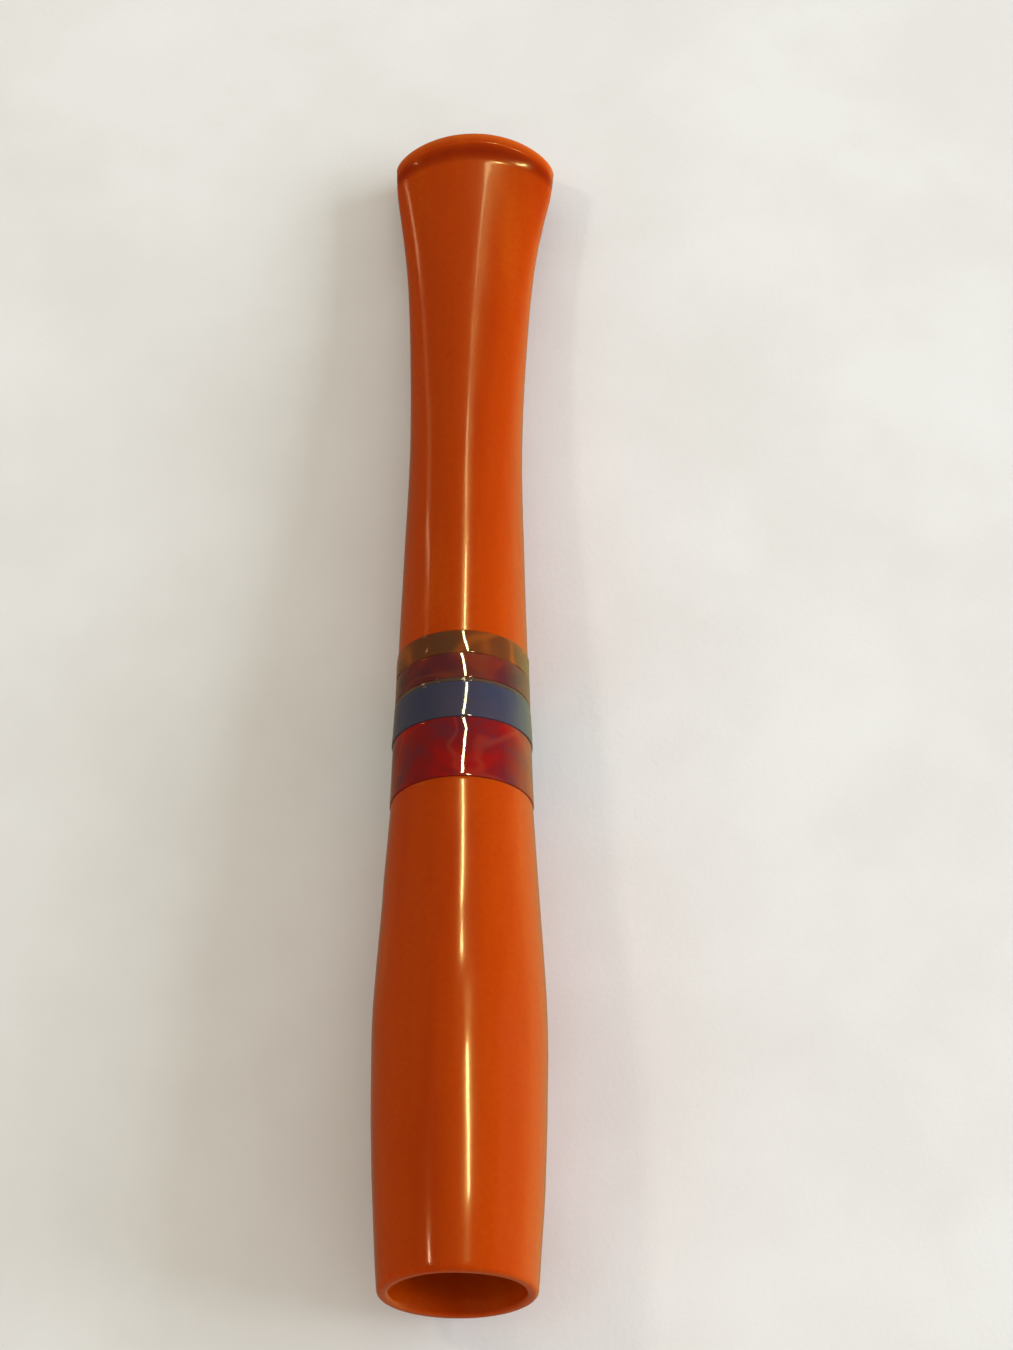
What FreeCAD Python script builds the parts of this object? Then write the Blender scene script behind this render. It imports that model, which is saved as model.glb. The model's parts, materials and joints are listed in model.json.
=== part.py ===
import FreeCAD, Part
import math
import os

import Sketcher

# A cigarette holder that lies on a table: a barrel with the cigarette's socket, a stack of five
# coloured rings, and a flattened mouthpiece, held together by a threaded tube down the middle.
#
# Every piece is modelled on the holder's own axis: station 0 is the socket's mouth, stations grow
# along +Z to the lip, +X is across the mouthpiece's width and +Y across its thickness. The last
# section lays the pieces on the table: the stations then run along +Y, and +Z is up.

DIMENSIONS = {
    # barrel
    "barrel_length": 34.3,
    "mouth_radius": 5.12,
    "belly_station": 17.2,
    "belly_radius": 5.82,
    "shoulder_curve": 65.0,
    "cone_angle": 3.45,
    "rim_round": 0.28,
    "opening_radius": 4.42,
    "opening_lead": 1.2,
    "socket_radius": 4.15,
    "socket_depth": 21.0,
    "passage_radius": 1.4,
    "thread_hole_depth": 9.3,
    # rings, from the barrel's end to the mouthpiece: length, radius at each end
    "red_length": 4.6,
    "red_wide": 4.98,
    "red_narrow": 4.86,
    "slate_length": 2.8,
    "slate_wide": 4.93,
    "slate_narrow": 4.81,
    "olive_length": 0.3,
    "olive_wide": 4.77,
    "olive_narrow": 4.75,
    "maroon_length": 2.0,
    "maroon_wide": 4.77,
    "maroon_narrow": 4.72,
    "amber_length": 1.8,
    "amber_wide": 4.72,
    "amber_narrow": 4.69,
    "ring_bore_radius": 2.5,
    "ring_round": 0.12,
    # threaded tube
    "tenon_radius": 2.45,
    "tenon_bore_radius": 1.0,
    "tenon_in_barrel": 8.5,
    "tenon_in_mouthpiece": 6.5,
    "tenon_chamfer": 0.3,
    "thread_clearance": 0.05,
    "cement_gap": 0.03,
    # mouthpiece: stations are counted from the barrel's mouth
    "lip_station": 92.0,
    "neck_station": 64.0,
    "bend": 0.62,
    "crown_radius": 12.0,
    "crown_peak": -0.8,
    "lip_length": 1.5,
    "lip_half_thickness": 2.78,
    "lip_overhang": 0.04,
    "end_round": 0.4,
    "slot_round": 0.15,
    "slot_half_width": 3.0,
    "slot_half_height": 0.75,
    "channel_radius": 1.0,
    "channel_flare": 14.0,
}

# The mouthpiece's sections: station, half width, half thickness. It is round against the rings
# and grows flat and wide towards the lip.
MOUTHPIECE_SECTIONS = [
    ("root", "stack_end", 4.60, 4.60),
    ("shank", "stack_end + 8.2", 4.36, 4.13),
    ("neck", "Dims.neck_station", 4.14, 3.40),
    ("waist", "Dims.neck_station + 8", 4.36, 2.84),
    ("blade", "Dims.neck_station + 16", 4.87, 2.42),
    ("flare", "Dims.neck_station + 21.5", 5.52, 2.22),
    ("tip", "Dims.lip_station - 2.6", 5.99, 2.14),
    ("beyond", "Dims.lip_station + 1", 6.16, 2.12),
]

RINGS = ["red", "slate", "olive", "maroon", "amber"]
RING_NODES = {
    "red": "red_ring",
    "slate": "slate_ring",
    "olive": "olive_spacer",
    "maroon": "maroon_ring",
    "amber": "amber_ring",
}

doc = FreeCAD.newDocument("CigaretteHolder")
sheet = doc.addObject("Spreadsheet::Sheet", "Dims")


def fill_sheet():
    """Writes every driving dimension, with its name beside it."""
    section_sizes = {}
    for name, _, half_width, half_thickness in MOUTHPIECE_SECTIONS:
        section_sizes[f"{name}_half_width"] = half_width
        section_sizes[f"{name}_half_thickness"] = half_thickness
    for row, (name, size) in enumerate({**DIMENSIONS, **section_sizes}.items(), start=1):
        sheet.set(f"A{row}", name)
        sheet.set(f"B{row}", str(size))
        sheet.setAlias(f"B{row}", name)
    doc.recompute()


fill_sheet()

STACK_END = "(Dims.barrel_length + " + " + ".join(f"Dims.{ring}_length" for ring in RINGS) + ")"


def size(expression):
    """The value of an expression in the sheet's dimensions."""
    return float(sheet.evalExpression(expression))


def origin_plane(body, role):
    return next(plane for plane in body.Origin.OriginFeatures if plane.Role == role)


def half_outline(body, name, corners):
    """A closed sketch of one side of a turned piece.

    Each corner is (radius, station), or (radius, station, curve) if the edge that leaves it is
    an arc of that radius, bulging away from the axis. Every corner is bound to the sheet.
    """
    sketch = body.newObject("Sketcher::SketchObject", name)
    sketch.AttachmentSupport = [(origin_plane(body, "XZ_Plane"), "")]
    sketch.MapMode = "FlatFace"
    points = [FreeCAD.Vector(size(corner[0]), size(corner[1]), 0) for corner in corners]
    for index, corner in enumerate(corners):
        start, end = points[index], points[(index + 1) % len(points)]
        if len(corner) == 3:
            along = end - start
            outward = FreeCAD.Vector(along.y, -along.x, 0).normalize()
            rise = size(corner[2]) - math.sqrt(size(corner[2]) ** 2 - (along.Length / 2) ** 2)
            middle = (start + end) / 2 + outward * rise
            sketch.addGeometry(Part.Arc(start, middle, end))
            radius = sketch.addConstraint(Sketcher.Constraint("Radius", index, size(corner[2])))
            sketch.setExpression(f"Constraints[{radius}]", corner[2])
        else:
            sketch.addGeometry(Part.LineSegment(start, end))
    for index, corner in enumerate(corners):
        # an arc drawn from its start to its end can be stored the other way round
        first = 1 if near(sketch.getPoint(index, 1), points[index]) else 2
        before = (index - 1) % len(corners)
        last = 1 if near(sketch.getPoint(before, 1), points[index]) else 2
        sketch.addConstraint(Sketcher.Constraint("Coincident", before, last, index, first))
        across = Sketcher.Constraint("DistanceX", -1, 1, index, first, points[index].x)
        sketch.setExpression(f"Constraints[{sketch.addConstraint(across)}]", corner[0])
        if corner[1] == "0":
            sketch.addConstraint(Sketcher.Constraint("PointOnObject", index, first, -1))
        else:
            along = Sketcher.Constraint("DistanceY", -1, 1, index, first, points[index].y)
            sketch.setExpression(f"Constraints[{sketch.addConstraint(along)}]", corner[1])
    return sketch


def near(point, other):
    return (point - other).Length < 1e-6


def turned(label, corners):
    """A body made by turning one outline about the holder's axis."""
    body = doc.addObject("PartDesign::Body", label.title().replace("_", ""))
    body.Label = label
    sketch = half_outline(body, label + "_outline", corners)
    turn = body.newObject("PartDesign::Revolution", label + "_turned")
    turn.Profile = sketch
    turn.ReferenceAxis = (sketch, ["V_Axis"])
    turn.Angle = 360
    doc.recompute()
    return body


def circles(feature, radius, station):
    """The names of a feature's round edges with this radius at this station."""
    names = []
    for number, edge in enumerate(feature.Shape.Edges, start=1):
        round_edge = isinstance(edge.Curve, Part.Circle)
        if round_edge and abs(edge.Curve.Radius - radius) < 1e-4:
            if abs(edge.Curve.Center.z - station) < 1e-4:
                names.append(f"Edge{number}")
    return names


def rounded(body, name, edge_names, radius_expression):
    """Rounds some edges of a body's newest feature."""
    newest = body.Tip
    fillet = body.newObject("PartDesign::Fillet", name)
    fillet.Base = (newest, edge_names)
    fillet.Radius = size(radius_expression)
    fillet.setExpression("Radius", radius_expression)
    body.Tip = fillet
    doc.recompute()


def build_barrel():
    """A long belly, a straight cone up to the rings, and the socket, passage and thread hole."""
    drop = "(Dims.belly_radius - Dims.mouth_radius)"
    mouth_curve = f"(Dims.belly_station ^ 2 + {drop} ^ 2) / (2 * {drop})"
    cone_station = "(Dims.belly_station + Dims.shoulder_curve * sin(Dims.cone_angle * 1 deg))"
    cone_radius = "(Dims.belly_radius - Dims.shoulder_curve * (1 - cos(Dims.cone_angle * 1 deg)))"
    cone_fall = f"(Dims.barrel_length - {cone_station}) * tan(Dims.cone_angle * 1 deg)"
    thread_radius = "Dims.tenon_radius + Dims.thread_clearance"
    thread_bottom = "Dims.barrel_length - Dims.thread_hole_depth"
    body = turned(
        "barrel",
        [
            ("Dims.mouth_radius", "0", mouth_curve),
            ("Dims.belly_radius", "Dims.belly_station", "Dims.shoulder_curve"),
            (cone_radius, cone_station),
            (f"{cone_radius} - {cone_fall}", "Dims.barrel_length"),
            (thread_radius, "Dims.barrel_length"),
            (thread_radius, thread_bottom),
            ("Dims.passage_radius", thread_bottom),
            ("Dims.passage_radius", "Dims.socket_depth"),
            ("Dims.socket_radius", "Dims.socket_depth"),
            ("Dims.socket_radius", "Dims.opening_lead"),
            ("Dims.opening_radius", "0"),
        ],
    )
    rim = circles(body.Tip, size("Dims.mouth_radius"), 0)
    rim += circles(body.Tip, size("Dims.opening_radius"), 0)
    rounded(body, "barrel_rim", rim, "Dims.rim_round")
    return body


def build_ring(ring, start):
    """A disc, a little wider at the end nearer the barrel, bored to pass the threaded tube."""
    end = f"{start} + Dims.{ring}_length"
    body = turned(
        RING_NODES[ring],
        [
            ("Dims.ring_bore_radius", start),
            (f"Dims.{ring}_wide", start),
            (f"Dims.{ring}_narrow", end),
            ("Dims.ring_bore_radius", end),
        ],
    )
    edges = circles(body.Tip, size(f"Dims.{ring}_wide"), size(start))
    edges += circles(body.Tip, size(f"Dims.{ring}_narrow"), size(end))
    rounded(body, ring + "_edges", edges, "Dims.ring_round")
    return body


def build_rings():
    bodies, start = [], "Dims.barrel_length"
    for ring in RINGS:
        bodies.append(build_ring(ring, start))
        start += f" + Dims.{ring}_length"
    return bodies


def build_tenon():
    """The threaded tube, at its threads' outer size, with a chamfer at each end."""
    low = "(Dims.barrel_length - Dims.tenon_in_barrel)"
    high = f"({STACK_END} + Dims.tenon_in_mouthpiece)"
    inset = "(Dims.tenon_radius - Dims.tenon_chamfer)"
    return turned(
        "tenon_tube",
        [
            ("Dims.tenon_bore_radius", low),
            (inset, low),
            ("Dims.tenon_radius", f"{low} + Dims.tenon_chamfer"),
            ("Dims.tenon_radius", f"{high} - Dims.tenon_chamfer"),
            (inset, high),
            ("Dims.tenon_bore_radius", high),
        ],
    )


def ellipse(name, half_width, half_thickness, station, across="0"):
    """One section of a loft, square to the axis."""
    section = doc.addObject("Part::Ellipse", name)
    section.setExpression("MajorRadius", half_width)
    section.setExpression("MinorRadius", half_thickness)
    section.setExpression("Placement.Base.x", across)
    section.setExpression("Placement.Base.z", station)
    return section


def loft(name, sections, ruled=False):
    solid = doc.addObject("Part::Loft", name)
    solid.Sections = sections
    solid.Solid = True
    solid.Ruled = ruled
    return solid


def cylinder_across(name, radius, height, station, across):
    """A cylinder whose axis runs through the mouthpiece's thickness."""
    round_cutter = doc.addObject("Part::Cylinder", name)
    round_cutter.Placement.Rotation = FreeCAD.Rotation(FreeCAD.Vector(1, 0, 0), 90)
    round_cutter.setExpression("Radius", radius)
    round_cutter.setExpression("Height", height)
    round_cutter.setExpression("Placement.Base.x", across)
    round_cutter.setExpression("Placement.Base.y", f"({height}) / 2")
    round_cutter.setExpression("Placement.Base.z", station)
    return round_cutter


def boolean(kind, name, base, tool):
    result = doc.addObject(f"Part::{kind}", name)
    result.Base = base
    result.Tool = tool
    return result


def bend_at(station):
    """How far the mouthpiece's middle has bent sideways at a station."""
    share = f"(({station}) - {STACK_END}) / (Dims.lip_station - {STACK_END})"
    return f"Dims.bend * ({share}) ^ 2"


def build_mouthpiece():
    """A lofted blade with a crowned end, the lip's band, and the smoke channel through it."""
    sections = []
    for name, station, _, _ in MOUTHPIECE_SECTIONS:
        station = station.replace("stack_end", STACK_END)
        half_width = f"Dims.{name}_half_width"
        half_thickness = f"Dims.{name}_half_thickness"
        if name == "root":
            # the section against the rings is a true circle
            half_thickness = half_width
        sections.append(ellipse(name, half_width, half_thickness, station, bend_at(station)))
    blade = loft("blade_loft", sections)

    lean = bend_at("Dims.lip_station")
    centre = "Dims.lip_station - Dims.crown_radius"
    deep = "4 * Dims.lip_half_thickness"
    peak = f"{lean} + Dims.crown_peak"
    crown = cylinder_across("crown", "Dims.crown_radius", deep, centre, peak)
    root_box = doc.addObject("Part::Box", "root_keep")
    root_box.setExpression("Length", "4 * Dims.crown_radius")
    root_box.setExpression("Width", "4 * Dims.crown_radius")
    root_box.setExpression("Height", f"{centre} - {STACK_END} + 1")
    root_box.setExpression("Placement.Base.x", "-2 * Dims.crown_radius")
    root_box.setExpression("Placement.Base.y", "-2 * Dims.crown_radius")
    root_box.setExpression("Placement.Base.z", f"{STACK_END} - 1")
    keep = boolean("Fuse", "keep", root_box, crown)
    crowned = boolean("Common", "crowned_blade", blade, keep)

    lip_width = "Dims.beyond_half_width + Dims.lip_overhang"
    lip_height = "Dims.lip_half_thickness"
    lip_start = "Dims.lip_station - 4 * Dims.lip_length"
    lip_sections = [
        ellipse("lip_low", lip_width, lip_height, lip_start, lean),
        ellipse("lip_high", lip_width, lip_height, "Dims.lip_station + 1", lean),
    ]
    lip_block = loft("lip_block", lip_sections, ruled=True)
    lip_crown = cylinder_across("lip_crown", "Dims.crown_radius", deep, centre, peak)
    back_radius = "Dims.crown_radius - Dims.lip_length"
    lip_back = cylinder_across("lip_back", back_radius, deep, centre, peak)
    lip_disc = boolean("Common", "lip_disc", lip_block, lip_crown)
    lip_band = boolean("Cut", "lip_band", lip_disc, lip_back)
    outside = boolean("Fuse", "mouthpiece_outside", crowned, lip_band)
    outside.Refine = True

    hole_end = f"({STACK_END} + Dims.tenon_in_mouthpiece)"
    tenon_hole = doc.addObject("Part::Cylinder", "tenon_hole")
    tenon_hole.setExpression("Radius", "Dims.tenon_radius + Dims.cement_gap")
    tenon_hole.setExpression("Height", "Dims.tenon_in_mouthpiece + 1")
    tenon_hole.setExpression("Placement.Base.z", f"{STACK_END} - 1")
    flare_start = "Dims.lip_station - Dims.channel_flare"
    beyond = "Dims.lip_station + 1"
    channel = loft(
        "smoke_channel",
        [
            ellipse("channel_in", "Dims.channel_radius", "Dims.channel_radius", hole_end + " - 0.5"),
            ellipse(
                "channel_middle",
                "Dims.channel_radius",
                "Dims.channel_radius",
                flare_start,
                bend_at(flare_start),
            ),
            ellipse("slot", "Dims.slot_half_width", "Dims.slot_half_height", beyond, lean),
        ],
        ruled=True,
    )
    hollow = boolean("Fuse", "mouthpiece_hollow", tenon_hole, channel)
    bored = boolean("Cut", "mouthpiece_bored", outside, hollow)
    doc.recompute()

    mouthpiece = doc.addObject("Part::Fillet", "mouthpiece")
    mouthpiece.Label = "mouthpiece"
    mouthpiece.Base = bored
    outer, slot = end_edges(bored.Shape)
    mouthpiece.Edges = [
        (outer, size("Dims.end_round"), size("Dims.end_round")),
        (slot, size("Dims.slot_round"), size("Dims.slot_round")),
    ]
    doc.recompute()
    return mouthpiece


def end_edges(shape):
    """The numbers of the two edges on the crowned end: its outline and the slot's mouth."""
    across = size("Dims.bend + Dims.crown_peak")
    middle = FreeCAD.Vector(across, 0, size("Dims.lip_station - Dims.crown_radius"))
    on_crown = []
    for number, edge in enumerate(shape.Edges, start=1):
        arms = [point - middle for point in edge.discretize(9)]
        distances = [math.hypot(arm.x, arm.z) for arm in arms]
        if max(abs(distance - size("Dims.crown_radius")) for distance in distances) < 0.01:
            on_crown.append((edge.Length, number))
    longest_first = [number for _, number in sorted(on_crown, reverse=True)]
    return longest_first[0], longest_first[1]


def stop_on_failure(parts):
    failed = [item.Name for item in doc.Objects if {"Invalid", "Error"} & set(item.State)]
    if failed:
        raise RuntimeError(f"these objects did not compute: {failed}")
    for part in parts:
        if part.Shape.isNull() or not part.Shape.isValid() or len(part.Shape.Solids) != 1:
            raise RuntimeError(f"{part.Label} is not one valid solid")


def lowest(part, turn):
    """The height of a part's lowest point once it is turned."""
    shape = part.Shape.copy()
    shape.Placement = FreeCAD.Placement(FreeCAD.Vector(), turn)
    return shape.optimalBoundingBox(False).ZMin


def lying(tilt):
    """The turn that lays the axis along +Y with the lip lower by this many degrees."""
    return FreeCAD.Rotation(FreeCAD.Vector(1, 0, 0), -90 - tilt)


def resting_tilt(barrel, mouthpiece):
    """The tilt, found by halving, at which the belly and the lip touch the same table."""
    low, high = 0.0, 5.0
    for _ in range(20):
        tilt = (low + high) / 2
        if lowest(barrel, lying(tilt)) < lowest(mouthpiece, lying(tilt)):
            low = tilt
        else:
            high = tilt
    return tilt


def lay_down(parts, barrel, mouthpiece):
    """Lays the holder on the table, with the origin under the middle of its outline."""
    turn = lying(resting_tilt(barrel, mouthpiece))
    whole = Part.Compound([part.Shape for part in parts])
    whole.Placement = FreeCAD.Placement(FreeCAD.Vector(), turn)
    box = whole.optimalBoundingBox(False)
    base = FreeCAD.Vector(-box.Center.x, -box.Center.y, -box.ZMin)
    for part in parts:
        part.Placement = FreeCAD.Placement(base, turn)
    doc.recompute()


barrel = build_barrel()
rings = build_rings()
tenon = build_tenon()
mouthpiece = build_mouthpiece()
parts = [barrel, *rings, tenon, mouthpiece]
stop_on_failure(parts)
lay_down(parts, barrel, mouthpiece)
stop_on_failure(parts)

os.makedirs("parts", exist_ok=True)
for part in parts:
    part.Shape.exportStep(f"parts/{part.Label}.step")
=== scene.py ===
import json
import math

import bpy
import numpy as np
from mathutils import Matrix, Vector


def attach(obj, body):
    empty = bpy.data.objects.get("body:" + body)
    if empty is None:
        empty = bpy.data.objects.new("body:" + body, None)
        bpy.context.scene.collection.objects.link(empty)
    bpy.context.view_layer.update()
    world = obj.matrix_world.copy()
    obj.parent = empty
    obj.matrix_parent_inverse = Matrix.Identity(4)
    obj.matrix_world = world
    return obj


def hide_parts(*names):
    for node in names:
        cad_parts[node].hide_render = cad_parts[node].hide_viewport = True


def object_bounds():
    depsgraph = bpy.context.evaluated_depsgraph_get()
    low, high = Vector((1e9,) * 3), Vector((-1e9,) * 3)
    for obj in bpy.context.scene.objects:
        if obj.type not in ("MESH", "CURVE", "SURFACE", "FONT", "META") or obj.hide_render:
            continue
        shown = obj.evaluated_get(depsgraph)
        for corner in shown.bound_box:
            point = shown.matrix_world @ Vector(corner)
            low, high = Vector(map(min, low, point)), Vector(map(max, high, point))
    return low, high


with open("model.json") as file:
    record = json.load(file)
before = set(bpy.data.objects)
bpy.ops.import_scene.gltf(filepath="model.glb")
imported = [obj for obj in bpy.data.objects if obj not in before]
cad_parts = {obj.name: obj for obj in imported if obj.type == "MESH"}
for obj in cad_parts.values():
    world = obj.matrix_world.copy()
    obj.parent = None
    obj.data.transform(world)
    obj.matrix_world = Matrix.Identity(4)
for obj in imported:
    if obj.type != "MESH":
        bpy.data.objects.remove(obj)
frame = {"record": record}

# An orange resin cigarette holder lying on a pale table. Lengths on the holder and the camera's
# distances are in millimetres, which MM turns into the frame's metres. Lamps, table and materials
# are in metres. A station is a distance along the holder's own axis from the socket's mouth.
CAD_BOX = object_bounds()
MM = 0.001

# ---------------------------------------------------------------- the holder's own axis
hinge = next(j for j in frame["record"]["behaviour"]["joints"] if j["type"] == "hinge")
ALONG = np.array(hinge["axis"], float) / np.linalg.norm(hinge["axis"])
ACROSS = np.array([1.0, 0.0, 0.0])
UP = np.cross(ACROSS, ALONG)
BARREL_END = np.array(hinge["pos_m"], float)

BARREL_LENGTH = 34.3
RING_LENGTHS = {
    "red_ring": 4.6,
    "slate_ring": 2.8,
    "olive_spacer": 0.3,
    "maroon_ring": 2.0,
    "amber_ring": 1.8,
}
STACK_END = BARREL_LENGTH + sum(RING_LENGTHS.values())
LIP_STATION = 92.0
TENON_RADIUS = 2.45
TENON_BORE = 1.0
TENON_IN_BARREL = 8.5
TENON_IN_MOUTHPIECE = 6.5


def place(across, up, station):
    """World points for arrays of local millimetres."""
    across, up, station = np.broadcast_arrays(across, up, station)
    local = across[..., None] * ACROSS + up[..., None] * UP
    return BARREL_END + MM * (local + (station[..., None] - BARREL_LENGTH) * ALONG)


# ---------------------------------------------------------------- mesh building
AROUND = 144
ANGLES = np.linspace(0, 2 * math.pi, AROUND, endpoint=False)
COS, SIN = np.cos(ANGLES), np.sin(ANGLES)


def round_loop(radius, station):
    """A loop round the axis. The radius is one number, or one for each angle."""
    return place(radius * COS, radius * SIN, np.full(AROUND, station))


def ripple(angle, station, seed, longest=14.0):
    """A smooth, repeatable unevenness over a turned surface, mostly between -1 and 1."""
    waves = 7
    draw = np.random.default_rng(seed)
    total = np.zeros(np.broadcast(angle, station).shape)
    for _ in range(waves):
        turns = draw.integers(1, 4)
        pace = 2 * math.pi / (longest * draw.uniform(0.35, 1.0))
        total += np.sin(turns * angle + pace * station + draw.uniform(0, 2 * math.pi))
    return total / math.sqrt(waves * 2)


def ring_of_loops(name, loops, smooth_angle=34):
    """A closed mesh from loops of points; the last loop joins the first through the bore."""
    points = np.concatenate(loops)
    count, around = len(loops), len(loops[0])
    quads = []
    for row in range(count):
        after = (row + 1) % count
        for column in range(around):
            beside = (column + 1) % around
            quads.append(
                (
                    row * around + column,
                    after * around + column,
                    after * around + beside,
                    row * around + beside,
                )
            )
    mesh = bpy.data.meshes.new(name)
    mesh.from_pydata(points.tolist(), [], quads)
    mesh.validate()
    piece = bpy.data.objects.new(name, mesh)
    bpy.context.scene.collection.objects.link(piece)
    mesh.shade_smooth()
    mesh.set_sharp_from_angle(angle=math.radians(smooth_angle))
    return piece


def quarter(radius, start_degrees, end_degrees, centre, steps=6):
    """Points of a small round between two directions, for a profile's corner."""
    turns = np.radians(np.linspace(start_degrees, end_degrees, steps))
    return [(centre[0] + radius * math.cos(t), centre[1] + radius * math.sin(t)) for t in turns]


def spread(start, end, steps):
    """Points from start up to, but not at, end."""
    shares = np.linspace(0, 1, steps, endpoint=False)
    return [tuple(np.array(start) * (1 - s) + np.array(end) * s) for s in shares]


# ---------------------------------------------------------------- barrel
BELLY_STATION, BELLY_RADIUS = 17.2, 5.82
MOUTH_RADIUS = 5.12
SHOULDER_CURVE = 65.0
CONE_ANGLE = math.radians(3.45)
CONE_STATION = BELLY_STATION + SHOULDER_CURVE * math.sin(CONE_ANGLE)
OUTER_RIM_ROUND, INNER_RIM_ROUND = 0.34, 0.26
RIM_INNER_RADIUS = 4.36
RIM_INSIDE_BELOW = 4.9
RIM_WANDER, RIM_WANDER_REACH = 0.07, 0.9
TURNING_UNEVENNESS = 0.012
SOCKET_RADIUS, SOCKET_DEPTH = 4.15, 21.0
PASSAGE_RADIUS = 1.4
THREAD_HOLE_RADIUS = TENON_RADIUS + 0.05
THREAD_HOLE_START = 25.0


def barrel_radius(station):
    """The outside: an arc from the mouth to the belly, the shoulder's arc, then a cone."""
    drop = BELLY_RADIUS - MOUTH_RADIUS
    mouth_curve = (BELLY_STATION**2 + drop**2) / (2 * drop)
    away = station - BELLY_STATION
    if away < 0:
        return BELLY_RADIUS - mouth_curve + math.sqrt(mouth_curve**2 - away**2)
    if station < CONE_STATION:
        return BELLY_RADIUS - SHOULDER_CURVE + math.sqrt(SHOULDER_CURVE**2 - away**2)
    at_cone = BELLY_RADIUS - SHOULDER_CURVE * (1 - math.cos(CONE_ANGLE))
    return at_cone - (station - CONE_STATION) * math.tan(CONE_ANGLE)


def barrel_profile():
    """Half the barrel's section as (radius, station): its outside, then back through the bore."""
    stations = np.linspace(OUTER_RIM_ROUND, BARREL_LENGTH - 0.08, 150)
    profile = [(barrel_radius(s), s) for s in stations]
    # the soft edge of the end next to the rings, its face, and the plain hole for the thread
    end = barrel_radius(BARREL_LENGTH)
    hole_top = (THREAD_HOLE_RADIUS, BARREL_LENGTH)
    hole_bottom = (THREAD_HOLE_RADIUS, THREAD_HOLE_START)
    profile += [(end - 0.03, BARREL_LENGTH - 0.02), (end - 0.08, BARREL_LENGTH)]
    profile += spread((end - 0.6, BARREL_LENGTH), hole_top, 3)
    profile += spread(hole_top, hole_bottom, 12)
    # the narrow passage, the socket's floor with its soft corner, and the socket's wall, which
    # opens slightly towards the mouth
    passage_top = (PASSAGE_RADIUS, THREAD_HOLE_START)
    passage_bottom = (PASSAGE_RADIUS, SOCKET_DEPTH)
    profile += spread(hole_bottom, passage_top, 3)
    profile += spread(passage_top, passage_bottom, 4)
    profile += spread(passage_bottom, (SOCKET_RADIUS - 0.1, SOCKET_DEPTH), 5)
    profile += [(SOCKET_RADIUS - 0.03, SOCKET_DEPTH - 0.06), (SOCKET_RADIUS, SOCKET_DEPTH - 0.2)]
    profile += spread((SOCKET_RADIUS, SOCKET_DEPTH - 0.5), (SOCKET_RADIUS, 1.4), 40)
    profile += [(SOCKET_RADIUS + 0.01, 1.2), (SOCKET_RADIUS + 0.04, 0.9)]
    # the rim, rounded inside and outside
    inner_centre = (RIM_INNER_RADIUS + INNER_RIM_ROUND, INNER_RIM_ROUND)
    outer_centre = (barrel_radius(OUTER_RIM_ROUND) - OUTER_RIM_ROUND, OUTER_RIM_ROUND)
    profile += quarter(INNER_RIM_ROUND, 180, 270, inner_centre)
    profile += quarter(OUTER_RIM_ROUND, 270, 360, outer_centre)[:-1]
    return profile


def build_barrel():
    loops = []
    for radius, station in barrel_profile():
        real = radius + TURNING_UNEVENNESS * (ripple(ANGLES, station, seed=11) - 1.2)
        # the rim was finished by hand, so its inner edge wanders a little
        inside = radius < RIM_INSIDE_BELOW
        near_mouth = math.exp(-((station / RIM_WANDER_REACH) ** 2))
        real += inside * near_mouth * RIM_WANDER * ripple(2 * ANGLES, 3 * station, seed=5)
        loops.append(round_loop(real, station))
    piece = ring_of_loops("barrel_body", loops)
    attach(piece, "barrel")
    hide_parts("barrel")
    return piece


# ---------------------------------------------------------------- rings
# Each disc's radius at its near end, which faces the barrel, and at its far end.
RING_RADII = {
    "red_ring": (4.98, 4.86),
    "slate_ring": (4.93, 4.81),
    "olive_spacer": (4.77, 4.75),
    "maroon_ring": (4.77, 4.72),
    "amber_ring": (4.72, 4.69),
}
# How far round, in radians, each disc's filing throws its highlight, from its near end (0) to
# its far end (1). The highlight lies at about HIGHLIGHT_ANGLE.
RING_WANDER = {
    "red_ring": ((0.0, 0.02), (0.8, -0.05), (1.0, 0.0)),
    "slate_ring": ((0.0, 0.0), (1.0, -0.04)),
    "olive_spacer": ((0.0, 0.0), (1.0, 0.0)),
    "maroon_ring": ((0.0, -0.02), (1.0, 0.03)),
    "amber_ring": ((0.0, -0.06), (1.0, 0.02)),
}
HIGHLIGHT_ANGLE = math.radians(86)
FILED_FLATS = 8
FILING_ALLOWANCE = 0.03
FILING_UNEVENNESS = 0.009
RING_BORE = 2.5
RING_EDGE = 0.06


def ring_profile(node, start):
    """Half a disc's section as (radius, station): its face with soft edges, its ends and bore."""
    length = RING_LENGTHS[node]
    near, far = RING_RADII[node]
    end = start + length
    edge = min(RING_EDGE, length / 4)
    face_rows = max(4, int(length * 9))
    profile = quarter(edge, 270, 350, (near - edge, start + edge))
    for share in np.linspace(0.03, 0.97, face_rows):
        station = start + edge + (length - 2 * edge) * share
        profile.append((near + (far - near) * share, station))
    profile += quarter(edge, 10, 90, (far - edge, end - edge))
    profile += spread((far - 0.8, end), (RING_BORE, end), 3)
    profile += spread((RING_BORE, end), (RING_BORE, start), 5)
    profile += spread((RING_BORE, start), (near - 0.5, start), 3)
    return profile


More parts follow.
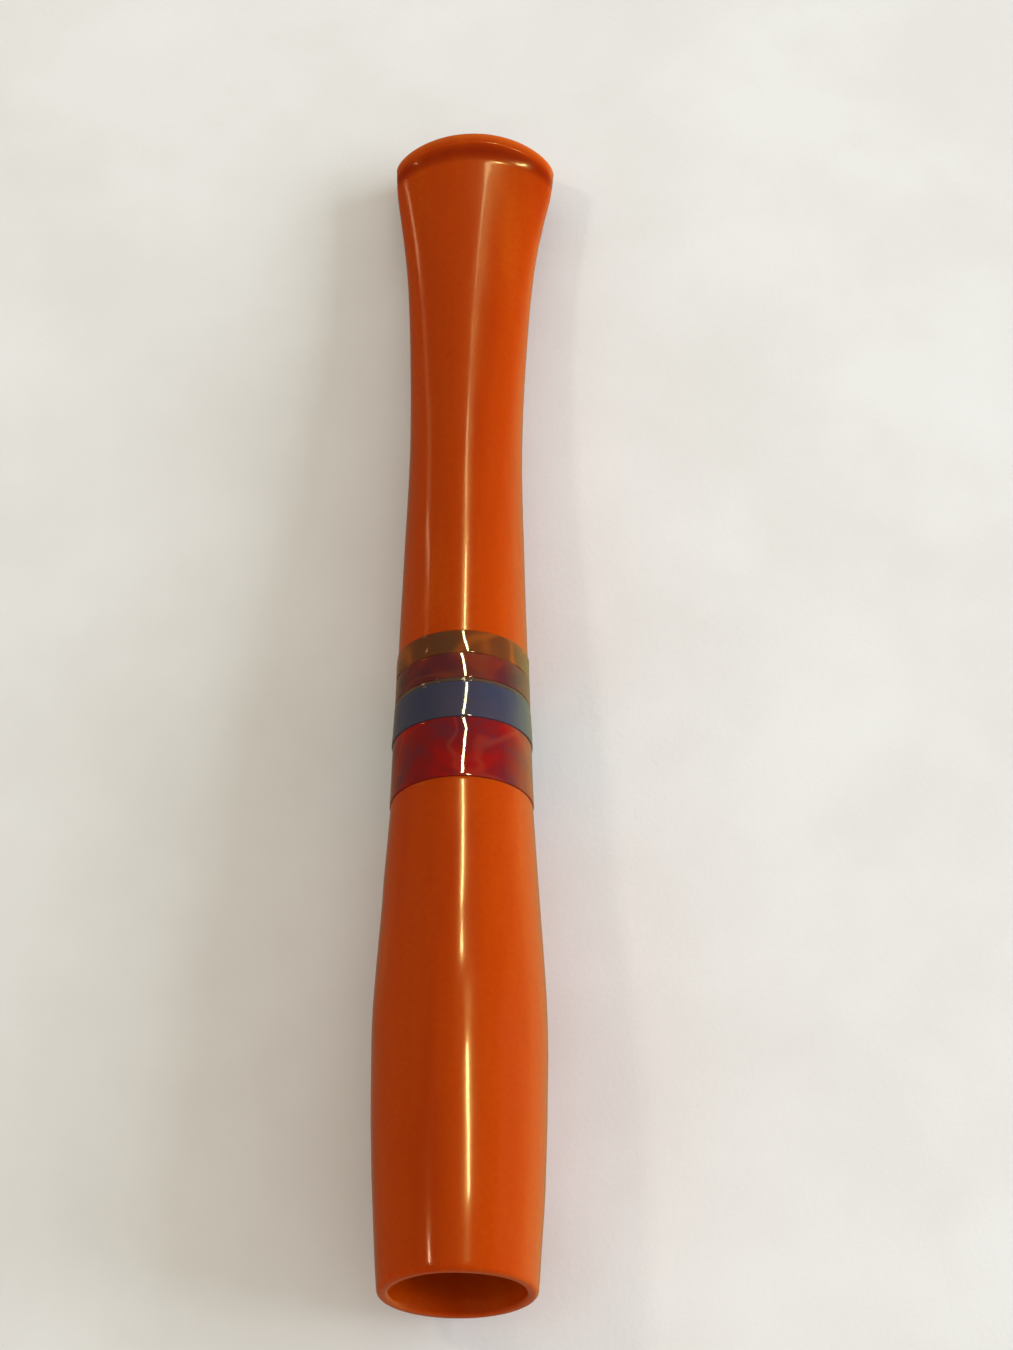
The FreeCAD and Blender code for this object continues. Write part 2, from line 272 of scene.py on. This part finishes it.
def filing(node, start, station, seed):
    """How far hand filing moved a disc's face at each angle, so that its highlight wanders."""
    length = RING_LENGTHS[node]
    near = RING_RADII[node][0]
    uneven = FILING_UNEVENNESS * (ripple(3 * ANGLES, station, seed, longest=2.6 * length) - 1.0)
    throw = np.interp((station - start) / length, *np.array(RING_WANDER[node]).T)
    depth = near * throw / FILED_FLATS
    flats = depth * np.sin(FILED_FLATS * (ANGLES - HIGHLIGHT_ANGLE))
    return uneven + flats - near * FILING_ALLOWANCE / FILED_FLATS


def build_ring(node, start, seed):
    far = RING_RADII[node][1]
    loops = []
    for radius, station in ring_profile(node, start):
        on_face = radius > far - 0.5
        real = radius + on_face * filing(node, start, station, seed)
        loops.append(round_loop(real, station))
    piece = ring_of_loops(node + "_disc", loops)
    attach(piece, node)
    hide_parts(node)
    return piece


# ---------------------------------------------------------------- threaded tube
THREAD_PITCH, THREAD_DEPTH = 0.8, 0.42
THREAD_CLEARANCE = 0.01
ROWS_IN_A_PITCH = 10
TUBE_END_TAPER, TUBE_END_LENGTH = 0.35, 0.6


def build_tenon():
    """The tube with its thread: one helical groove, so each loop's radius turns with angle."""
    low, high = BARREL_LENGTH - TENON_IN_BARREL, STACK_END + TENON_IN_MOUTHPIECE
    rows = int((high - low) / THREAD_PITCH * ROWS_IN_A_PITCH)
    loops = []
    for station in np.linspace(low, high, rows):
        turn = (station / THREAD_PITCH - ANGLES / (2 * math.pi)) % 1.0
        crest = np.clip(3.0 * np.abs(2 * turn - 1) - 0.9, 0, 1)
        taper = min(1.0, (station - low) / TUBE_END_LENGTH, (high - station) / TUBE_END_LENGTH)
        radius = TENON_RADIUS - THREAD_CLEARANCE - THREAD_DEPTH * (1 - crest)
        loops.append(round_loop(radius - TUBE_END_TAPER * (1 - taper), station))
    for station in np.linspace(high, low, 8):
        loops.append(round_loop(TENON_BORE, station))
    piece = ring_of_loops("tenon_thread", loops, smooth_angle=50)
    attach(piece, "mouthpiece")
    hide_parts("tenon_tube")
    return piece


# ---------------------------------------------------------------- mouthpiece
# Half widths and half thicknesses at stations along the shank and the blade.
HALF_WIDTHS = [
    (STACK_END, 4.58), (54.0, 4.35), (64.0, 4.14), (72.0, 4.36),
    (80.0, 4.86), (85.5, 5.52), (89.4, 6.00), (LIP_STATION, 6.12),
]
HALF_THICKNESSES = [
    (STACK_END, 4.58), (54.0, 4.11), (64.0, 3.39), (72.0, 2.83),
    (80.0, 2.41), (85.5, 2.21), (89.0, 2.13), (LIP_STATION, 2.12),
]
# A section's flatness is 2 for an ellipse, and more for broader faces and tighter sides.
ELLIPSE, BLADE_FLATNESS, SLOT_FLATNESS = 2.0, 2.05, 2.6
FLATTENING_START, FLATTENING_LENGTH = 52, 26
SEAM_SHARE = 0.988
BEND = 0.62
BLADE_ROLL = math.radians(4.5)
CROWN_START = 80
CROWN_RADIUS = 12.0
CROWN_PEAK = -0.8
LIP_ZONE_START = 88.0
LIP_RISE, LIP_SPREAD = 0.58, 0.03
LIP_RAMP_START, LIP_CREST = 2.6, 1.15
END_ROUND = 0.45
SLOT_HALF_WIDTH, SLOT_HALF_HEIGHT = 3.0, 0.75
SLOT_ROUND = 0.15
SLOT_FLARE_END = 78.0
TENON_HOLE_RADIUS = TENON_RADIUS + 0.03


def through(knots, at):
    """A smooth curve through knots, by cubic pieces whose slopes come from the neighbours."""
    xs, ys = np.array(knots).T
    slopes = np.gradient(ys, xs)
    piece = np.clip(np.searchsorted(xs, at) - 1, 0, len(xs) - 2)
    width = xs[piece + 1] - xs[piece]
    t = (at - xs[piece]) / width
    start = ys[piece] * (1 + 2 * t) * (1 - t) ** 2 + slopes[piece] * width * t * (1 - t) ** 2
    rest = ys[piece + 1] * t**2 * (3 - 2 * t) - slopes[piece + 1] * width * t**2 * (1 - t)
    return start + rest


def ease(share):
    """The share, held between 0 and 1, with a gentle start and end."""
    share = np.clip(share, 0, 1)
    return share * share * (3 - 2 * share)


def between(first, second, share):
    return first * (1 - share) + second * share


def section(half_width, half_thickness, flatness):
    """An oval, rolled a little: the blade's left side lies lower than its right."""
    power = 2 / flatness
    across = half_width * np.sign(COS) * np.abs(COS) ** power
    up = half_thickness * np.sign(SIN) * np.abs(SIN) ** power
    turned_across = across * math.cos(BLADE_ROLL) - up * math.sin(BLADE_ROLL)
    turned_up = across * math.sin(BLADE_ROLL) + up * math.cos(BLADE_ROLL)
    return turned_across, turned_up


def mouthpiece_loop(across, up, station):
    """Places a loop with the blade's sideways bend and its crowned end."""
    bend = BEND * ((station - STACK_END) / (LIP_STATION - STACK_END)) ** 2
    crowning = ease((station - CROWN_START) / (LIP_STATION - CROWN_START))
    from_peak = np.clip(across - CROWN_PEAK, -8, 8)
    drop = CROWN_RADIUS - np.sqrt(CROWN_RADIUS**2 - from_peak**2)
    return place(across + bend, up, station - crowning * drop)


def lip_rise(before_end):
    """The lip's height as a share: a hollow ramp up to the crest, then a land that falls off."""
    climb = np.clip((LIP_RAMP_START - before_end) / (LIP_RAMP_START - LIP_CREST), 0, 1)
    fall = np.clip((LIP_CREST - before_end) / LIP_CREST, 0, 1)
    return climb**1.7 - 0.30 * fall


def lip_painted_shade_and_light(before_end):
    """From -1 in the lip's hollow, for a deeper colour that is painted shade, to 1 on its end, for
    a paler colour that is painted light shining through the thin end.

    Before the lip it is 0.
    """
    if before_end > LIP_CREST:
        into_hollow = (before_end - LIP_CREST) / (LIP_RAMP_START - LIP_CREST)
        return -math.sin(math.pi * min(max(into_hollow, 0.0), 1.0) ** 0.8)
    return float(ease((LIP_CREST - before_end) / LIP_CREST))


def outside_loops():
    """The shank and blade from the rings to the end's round, and each loop's painted shade or
    light.
    """
    seam = [STACK_END]
    shank = np.linspace(STACK_END + 0.06, LIP_ZONE_START, 150)
    lip = np.linspace(LIP_ZONE_START, LIP_STATION - END_ROUND, 60)[1:]
    loops, painted_tones = [], []
    for station in np.concatenate([seam, shank, lip]):
        before_end = LIP_STATION - station
        rise = lip_rise(before_end)
        half_width = through(HALF_WIDTHS, station) + LIP_SPREAD * rise
        half_thickness = through(HALF_THICKNESSES, station) + LIP_RISE * rise
        flattening = ease((station - FLATTENING_START) / FLATTENING_LENGTH)
        flatness = between(ELLIPSE, BLADE_FLATNESS, flattening)
        across, up = section(half_width, half_thickness, flatness)
        share = SEAM_SHARE if station == STACK_END else 1.0
        loops.append(mouthpiece_loop(across * share, up * share, station))
        painted_tones.append(lip_painted_shade_and_light(before_end))
    return loops, painted_tones


def end_loops(full_width, full_thickness):
    """The round where the lip's outside meets its end face, and each loop's painted shade or
    light.
    """
    loops, painted_tones = [], []
    for turn in np.radians(np.linspace(8, 90, 9)):
        inset = END_ROUND * (1 - math.cos(turn))
        before_end = END_ROUND * (1 - math.sin(turn))
        across, up = section(full_width - inset, full_thickness - inset, BLADE_FLATNESS)
        loops.append(mouthpiece_loop(across, up, LIP_STATION - before_end))
        painted_tones.append(lip_painted_shade_and_light(before_end))
    return loops, painted_tones


def slot_loops(full_width, full_thickness):
    """The end face, the slot's soft edge, and the slot closing in to the round channel."""
    loops = []
    for share in (0.35, 0.7, 0.92):
        half_width = between(full_width - END_ROUND, SLOT_HALF_WIDTH + SLOT_ROUND, share)
        half_height = between(full_thickness - END_ROUND, SLOT_HALF_HEIGHT + SLOT_ROUND, share)
        across, up = section(half_width, half_height, BLADE_FLATNESS)
        loops.append(mouthpiece_loop(across, up, LIP_STATION))
    for turn in np.radians((30, 60, 90)):
        grow = SLOT_ROUND * (1 - math.sin(turn))
        across, up = section(SLOT_HALF_WIDTH + grow, SLOT_HALF_HEIGHT + grow, SLOT_FLATNESS)
        station = LIP_STATION - SLOT_ROUND * (1 - math.cos(turn))
        loops.append(mouthpiece_loop(across, up, station))
    for share in np.linspace(0.04, 1, 20):
        half_width = between(SLOT_HALF_WIDTH, TENON_BORE, share)
        half_height = between(SLOT_HALF_HEIGHT, TENON_BORE, share)
        across, up = section(half_width, half_height, between(SLOT_FLATNESS, ELLIPSE, share))
        loops.append(mouthpiece_loop(across, up, between(LIP_STATION, SLOT_FLARE_END, share)))
    return loops


def channel_loops():
    """The round channel back to the tube's end, and the hole that the tube sits in."""
    hole_end = STACK_END + TENON_IN_MOUTHPIECE
    loops = []
    for station in np.linspace(SLOT_FLARE_END, hole_end, 12)[1:]:
        loops.append(mouthpiece_loop(TENON_BORE * COS, TENON_BORE * SIN, station))
    for station in np.linspace(hole_end, STACK_END, 8):
        loops.append(mouthpiece_loop(TENON_HOLE_RADIUS * COS, TENON_HOLE_RADIUS * SIN, station))
    return loops


def build_mouthpiece():
    """The mouthpiece, with a value of painted shade and light at each point for its colour;
    inside, it is 0.
    """
    full_width = through(HALF_WIDTHS, LIP_STATION) + LIP_SPREAD
    full_thickness = through(HALF_THICKNESSES, LIP_STATION) + LIP_RISE * lip_rise(END_ROUND)
    outside, outside_painted_tones = outside_loops()
    end, end_painted_tones = end_loops(full_width, full_thickness)
    inside = slot_loops(full_width, full_thickness) + channel_loops()
    piece = ring_of_loops("mouthpiece_blade", outside + end + inside)
    painted_tones = outside_painted_tones + end_painted_tones + [0.0] * len(inside)
    # painted shade for the lip's hollow and painted light for the lip's end, kept at each point
    # for the material
    painted_shade_and_light = piece.data.attributes.new("lip_painted_shade_and_light", "FLOAT", "POINT")
    painted_shade_and_light.data.foreach_set("value", np.repeat(painted_tones, AROUND))
    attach(piece, "mouthpiece")
    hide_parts("mouthpiece")
    return piece


# ---------------------------------------------------------------- materials
def set_marks(ramp_node, stops):
    """Gives a colour ramp its positions and colours."""
    marks = ramp_node.color_ramp.elements
    while len(marks) < len(stops):
        marks.new(0.5)
    for mark, (position, colour) in zip(marks, stops):
        mark.position = position
        mark.color = (*colour, 1)


class Shader:
    """A material's nodes, added one at a time."""

    def __init__(self, name):
        self.material = bpy.data.materials.new(name)
        self.material.use_nodes = True
        self.nodes = self.material.node_tree.nodes
        self.links = self.material.node_tree.links
        self.surface = self.nodes["Principled BSDF"]
        self.position = self.add("ShaderNodeTexCoord").outputs["Object"]

    def add(self, kind, **settings):
        node = self.nodes.new(kind)
        for key, value in settings.items():
            setattr(node, key, value)
        return node

    def stretched(self, scale, turn=(0, 0, 0)):
        node = self.add("ShaderNodeMapping")
        node.inputs["Scale"].default_value = scale
        node.inputs["Rotation"].default_value = turn
        self.links.new(self.position, node.inputs["Vector"])
        return node.outputs["Vector"]

    def noise(self, where, scale, detail=4, distortion=0.0):
        node = self.add("ShaderNodeTexNoise")
        for key, value in (
            ("Scale", scale),
            ("Detail", detail),
            ("Roughness", 0.55),
            ("Distortion", distortion),
        ):
            node.inputs[key].default_value = value
        self.links.new(where, node.inputs["Vector"])
        return node.outputs["Fac"]

    def ramp(self, factor, stops):
        node = self.add("ShaderNodeValToRGB")
        node.color_ramp.interpolation = "EASE"
        set_marks(node, stops)
        self.links.new(factor, node.inputs["Fac"])
        return node.outputs["Color"]

    def grey(self, factor, low, high, start=0.3, end=0.7):
        """A number that goes from low to high while factor goes from start to end."""
        node = self.add("ShaderNodeMapRange")
        for key, value in (
            ("From Min", start),
            ("From Max", end),
            ("To Min", low),
            ("To Max", high),
        ):
            node.inputs[key].default_value = value
        self.links.new(factor, node.inputs["Value"])
        return node.outputs["Result"]

    def mix(self, factor, first, second):
        """The output first, turned towards the colour second as far as factor says."""
        node = self.add("ShaderNodeMix", data_type="RGBA")
        self.links.new(factor, node.inputs[0])
        self.links.new(first, node.inputs[6])
        node.inputs[7].default_value = (*second, 1)
        return node.outputs[2]

    def bump(self, height, strength, distance, before=None):
        node = self.add("ShaderNodeBump")
        node.inputs["Strength"].default_value = strength
        node.inputs["Distance"].default_value = distance
        self.links.new(height, node.inputs["Height"])
        if before:
            self.links.new(before, node.inputs["Normal"])
        return node.outputs["Normal"]

    def finish(self, colour, roughness, normal, **fixed):
        for key, value in fixed.items():
            self.surface.inputs[key.replace("_", " ")].default_value = value
        self.links.new(colour, self.surface.inputs["Base Color"])
        if isinstance(roughness, float):
            self.surface.inputs["Roughness"].default_value = roughness
        else:
            self.links.new(roughness, self.surface.inputs["Roughness"])
        self.links.new(normal, self.surface.inputs["Normal"])
        return self.material


def srgb(red, green, blue):
    """A display colour, 0 to 255, as the linear one that shaders use."""
    shares = [c / 255 for c in (red, green, blue)]
    return tuple(c / 12.92 if c <= 0.04045 else ((c + 0.055) / 1.055) ** 2.4 for c in shares)


def orange_resin():
    """Solid orange resin: faint streaks along its length, a fine grain and a hand polish.

    Its attribute of painted shade and light, which only the mouthpiece has, deepens the colour in
    the lip's hollow as painted shade and makes the lip's end paler as painted light.
    """
    shader = Shader("orange_resin")
    lengthwise = shader.stretched((1, 0.12, 1))
    cloud = shader.noise(lengthwise, 260, detail=5)
    colour = shader.ramp(
        cloud, [(0.30, srgb(162, 49, 0)), (0.52, srgb(170, 58, 1)), (0.75, srgb(180, 71, 3))]
    )
    grain = shader.noise(shader.position, 2600, detail=3)
    colour = shader.mix(shader.grey(grain, 0.0, 0.35), colour, srgb(156, 43, 0))
    # the mouthpiece's values of painted shade and painted light for the lip
    lip = shader.add("ShaderNodeAttribute", attribute_name="lip_painted_shade_and_light").outputs["Fac"]
    # painted shade: the lip's hollow turned towards a darker red
    painted_hollow_shade = shader.grey(lip, 0.0, 0.8, start=0.0, end=-1.0)
    colour = shader.mix(painted_hollow_shade, colour, srgb(128, 24, 0))
    # painted light: the lip's end turned paler
    painted_end_light = shader.grey(lip, 0.0, 0.6, start=0.0, end=1.0)
    colour = shader.mix(painted_end_light, colour, srgb(212, 108, 32))
    wear = shader.noise(lengthwise, 900, detail=6)
    roughness = shader.grey(wear, 0.15, 0.22)
    scratches = shader.noise(shader.stretched((1, 0.03, 1), (0, 0, 0.05)), 5200, detail=2)
    normal = shader.bump(scratches, 0.06, 0.00002)
    polish = shader.noise(shader.position, 330, detail=2)
    normal = shader.bump(polish, 0.10, 0.00008, before=normal)
    return shader.finish(
        colour,
        roughness,
        normal,
        Subsurface_Weight=0.35,
        Subsurface_Radius=(1.0, 0.16, 0.02),
        Subsurface_Scale=0.0018,
        IOR=1.42,
        Specular_Tint=(1.0, 0.86, 0.45, 1.0),
        Coat_Weight=0.25,
        Coat_Roughness=0.05,
    )


def filed(shader):
    """The slight unevenness that filing and polishing left on the discs."""
    return shader.bump(shader.noise(shader.position, 420, detail=2), 0.25, 0.0001)


def marbled(name, clouds, streak, scale, turn, streak_share=0.45):
    """Cast resin: soft clouds from dark to bright, with a few fainter streaks between them."""
    shader = Shader(name)
    where = shader.stretched((1, 1.2, 1), (turn, 0.4, 0.2))
    cloud = shader.noise(where, scale, detail=2, distortion=0.5)
    colour = shader.ramp(cloud, list(zip((0.34, 0.48, 0.62), clouds)))
    vein = shader.noise(where, scale * 0.6, detail=1, distortion=0.6)
    share = (streak_share,) * 3
    line = shader.ramp(vein, [(0.46, (0, 0, 0)), (0.50, share), (0.55, (0, 0, 0))])
    colour = shader.mix(line, colour, streak)
    return shader.finish(
        colour,
        0.05,
        filed(shader),
        Subsurface_Weight=0.15,
        Subsurface_Radius=(1.0, 0.2, 0.1),
        Subsurface_Scale=0.0008,
        IOR=1.5,
        Coat_Weight=0.4,
        Coat_Roughness=0.03,
    )


def slate():
    """Blue-grey resin with faint purple clouds."""
    shader = Shader("slate_resin")
    cloud = shader.noise(shader.position, 150, distortion=0.6)
    colour = shader.ramp(cloud, [(0.35, srgb(52, 54, 72)), (0.65, srgb(66, 58, 68))])
    return shader.finish(
        colour, 0.07, filed(shader), IOR=1.5, Coat_Weight=0.4, Coat_Roughness=0.03
    )


def bone():
    """Cream bone with its grain along the tube."""
    shader = Shader("tenon_bone")
    grain = shader.noise(shader.stretched((1, 0.08, 1)), 2200, detail=5)
    colour = shader.ramp(grain, [(0.3, srgb(206, 190, 152)), (0.7, srgb(228, 216, 186))])
    return shader.finish(colour, 0.42, shader.bump(grain, 0.2, 0.00003))


def paper():
    """Off-white paper with a soft mottle and a fine tooth."""
    shader = Shader("pale_table")
    mottle = shader.noise(shader.position, 60, detail=6)
    colour = shader.ramp(mottle, [(0.3, srgb(217, 215, 211)), (0.7, srgb(224, 223, 220))])
    tooth = shader.noise(shader.position, 2400)
    return shader.finish(colour, 0.8, shader.bump(tooth, 0.35, 0.00004))


def ring_materials():
    """Each disc's resin. The clouds are from dark to bright."""
    red = (srgb(94, 28, 36), srgb(114, 20, 22), srgb(134, 16, 14))
    olive = (srgb(58, 50, 48), srgb(70, 56, 46), srgb(92, 66, 48))
    maroon = (srgb(72, 32, 36), srgb(86, 32, 34), srgb(108, 38, 26))
    amber = (srgb(86, 50, 28), srgb(100, 50, 22), srgb(132, 64, 18))
    faint = 0.30
    return {
        "red_ring": marbled("red_marble", red, srgb(150, 56, 38), 300, 0.3, faint),
        "slate_ring": slate(),
        "olive_spacer": marbled("olive_resin", olive, srgb(100, 74, 48), 120, 1.1),
        "maroon_ring": marbled("maroon_marble", maroon, srgb(118, 62, 30), 260, 2.0, faint),
        "amber_ring": marbled("amber_resin", amber, srgb(156, 78, 18), 220, 2.9),
    }


# ---------------------------------------------------------------- camera
VIEW_DOWN = math.radians(62.8)
AIM_DISTANCE = 182.7
AIM_BEYOND, AIM_RIGHT = 39.0, 3.07
LENS = 77.5


def build_camera():
    """The camera looks down the holder from the socket's end, at a point beyond the mouth."""
    forward = np.array([0, math.cos(VIEW_DOWN), -math.sin(VIEW_DOWN)])
    above = np.array([0, math.sin(VIEW_DOWN), math.cos(VIEW_DOWN)])
    mouth = place(0.0, 0.0, 0.0)
    aim = mouth + MM * (AIM_BEYOND * above + AIM_RIGHT * ACROSS)
    data = bpy.data.cameras.new("camera")
    data.lens = LENS
    data.clip_start = 0.01
    camera = bpy.data.objects.new("camera", data)
    camera.location = aim - MM * AIM_DISTANCE * forward
    camera.rotation_euler = (math.pi / 2 - VIEW_DOWN, 0, 0)
    bpy.context.scene.collection.objects.link(camera)
    bpy.context.scene.camera = camera


# ---------------------------------------------------------------- light
WARM = (1.0, 0.90, 0.46)
AMBER = (1.0, 0.66, 0.40)
PALE = (1.0, 0.90, 0.76)
DAYLIGHT = (0.88, 0.98, 1.10)
# Each lamp's name, its two ends, its width, its power and its colour.
GLOSS_LAMPS = (
    ("far_lamp", (0.020, 0.30, 0.50), (0.034, 0.44, 0.50), 0.026, 0.72, WARM),
    ("near_lamp", (0.085, 0.185, 0.50), (0.128, 0.100, 0.50), 0.026, 0.50, WARM),
    ("low_lamp", (-0.76, 0.62, 0.14), (-0.76, 0.62, 0.28), 0.025, 0.08, AMBER),
    ("hook_lamp", (0.020, 0.47, 0.50), (-0.020, 0.52, 0.50), 0.020, 0.07, WARM),
    ("left_lamp", (-0.40, 0.078, 0.50), (-0.40, 0.086, 0.50), 0.03, 0.06, AMBER),
)
WINDOWS = (
    ("left_window", (-0.40, 0.06, 0.50), (-0.40, 0.12, 0.50), 0.06, 0.45, PALE),
    ("window", (0.64, -0.22, 0.22), (0.64, 0.34, 0.22), 0.40, 6.2, DAYLIGHT),
)
ROOM_LIGHT = (0.72, 0.685, 0.615)
REFLECTED_ROOM = (0.06, 0.05, 0.03)
# From the table's left (0) through its middle to its right (1).
REFLECTED_TABLE = [(0.0, (0.11, 0.08, 0.04)), (0.5, (0.22, 0.18, 0.11)), (1.0, (0.60, 0.74, 0.28))]
# Upward parts of the directions between which the reflected room gives way to the table.
ROOM_ABOVE, TABLE_BELOW = 0.25, -0.35


def lamp(name, start, end, width, power, colour, lights=True, shines=True):
    """A rectangular light between two points, facing the origin.

    lights says whether it brightens surfaces, and shines whether their gloss shows it.
    """
    start, end = Vector(start), Vector(end)
    middle = (start + end) / 2
    facing_back = middle.normalized()
    length_way = (end - start).normalized()
    across_way = length_way.cross(facing_back).normalized()
    facing_back = across_way.cross(length_way)
    data = bpy.data.lights.new(name, "AREA")
    data.shape = "RECTANGLE"
    data.size, data.size_y = width, (end - start).length
    data.energy = power
    data.color = colour
    light = bpy.data.objects.new(name, data)
    light.matrix_world = Matrix.Translation(middle) @ Matrix(
        (across_way, length_way, facing_back)
    ).transposed().to_4x4()
    light.visible_diffuse = lights
    light.visible_glossy = shines
    bpy.context.scene.collection.objects.link(light)


def build_lights():
    """Narrow lamps that only gloss shows, and two windows that only brighten surfaces."""
    for settings in GLOSS_LAMPS:
        lamp(*settings, lights=False)
    for settings in WINDOWS:
        lamp(*settings, shines=False)


def build_room():
    """Even light from all round, while gloss sees a darker room.

    The table is hidden from reflections, so the lower half of the world stands for it there: dim
    on the left and bright on the right, fading into the room round the horizon.
    """
    world = bpy.data.worlds.new("soft_room")
    world.use_nodes = True
    nodes, links = world.node_tree.nodes, world.node_tree.links
    direction = nodes.new("ShaderNodeSeparateXYZ")
    links.new(nodes.new("ShaderNodeTexCoord").outputs["Generated"], direction.inputs["Vector"])
    sideways = nodes.new("ShaderNodeMapRange")
    sideways.inputs["From Min"].default_value = -1
    links.new(direction.outputs["X"], sideways.inputs["Value"])
    table_colour = nodes.new("ShaderNodeValToRGB")
    set_marks(table_colour, REFLECTED_TABLE)
    links.new(sideways.outputs["Result"], table_colour.inputs["Fac"])
    below = nodes.new("ShaderNodeMapRange")
    below.inputs["From Min"].default_value = ROOM_ABOVE
    below.inputs["From Max"].default_value = TABLE_BELOW
    links.new(direction.outputs["Z"], below.inputs["Value"])
    reflected = nodes.new("ShaderNodeMix")
    reflected.data_type = "RGBA"
    links.new(below.outputs["Result"], reflected.inputs[0])
    reflected.inputs[6].default_value = (*REFLECTED_ROOM, 1)
    links.new(table_colour.outputs["Color"], reflected.inputs[7])
    chosen = nodes.new("ShaderNodeMix")
    chosen.data_type = "RGBA"
    links.new(nodes.new("ShaderNodeLightPath").outputs["Is Glossy Ray"], chosen.inputs[0])
    chosen.inputs[6].default_value = (*ROOM_LIGHT, 1)
    links.new(reflected.outputs[2], chosen.inputs[7])
    links.new(chosen.outputs[2], nodes["Background"].inputs["Color"])
    bpy.context.scene.world = world


# ---------------------------------------------------------------- table
TABLE_SIDE, TABLE_STEPS = 3.0, 12


def build_table():
    """A flat square at the holder's lowest point, as a grid of faces."""
    line = np.linspace(-TABLE_SIDE / 2, TABLE_SIDE / 2, TABLE_STEPS + 1)
    points = [(x, y, CAD_BOX[0].z) for y in line for x in line]
    faces = []
    for row in range(TABLE_STEPS):
        for column in range(TABLE_STEPS):
            corner = row * len(line) + column
            above = corner + len(line)
            faces.append((corner, corner + 1, above + 1, above))
    mesh = bpy.data.meshes.new("table_top")
    mesh.from_pydata(points, [], faces)
    table = bpy.data.objects.new("table_top", mesh)
    bpy.context.scene.collection.objects.link(table)
    table.data.materials.append(paper())
    table.visible_glossy = False


# ---------------------------------------------------------------- the scene
ORANGE = orange_resin()
RING_MATERIALS = ring_materials()

build_barrel().data.materials.append(ORANGE)
ring_start = BARREL_LENGTH
for number, (node, length) in enumerate(RING_LENGTHS.items()):
    ring = build_ring(node, ring_start, 20 + number)
    ring.data.materials.append(RING_MATERIALS[node])
    ring_start += length
build_tenon().data.materials.append(bone())
build_mouthpiece().data.materials.append(ORANGE)

build_table()
build_lights()
build_room()
bpy.context.scene.view_settings.view_transform = "Standard"
build_camera()
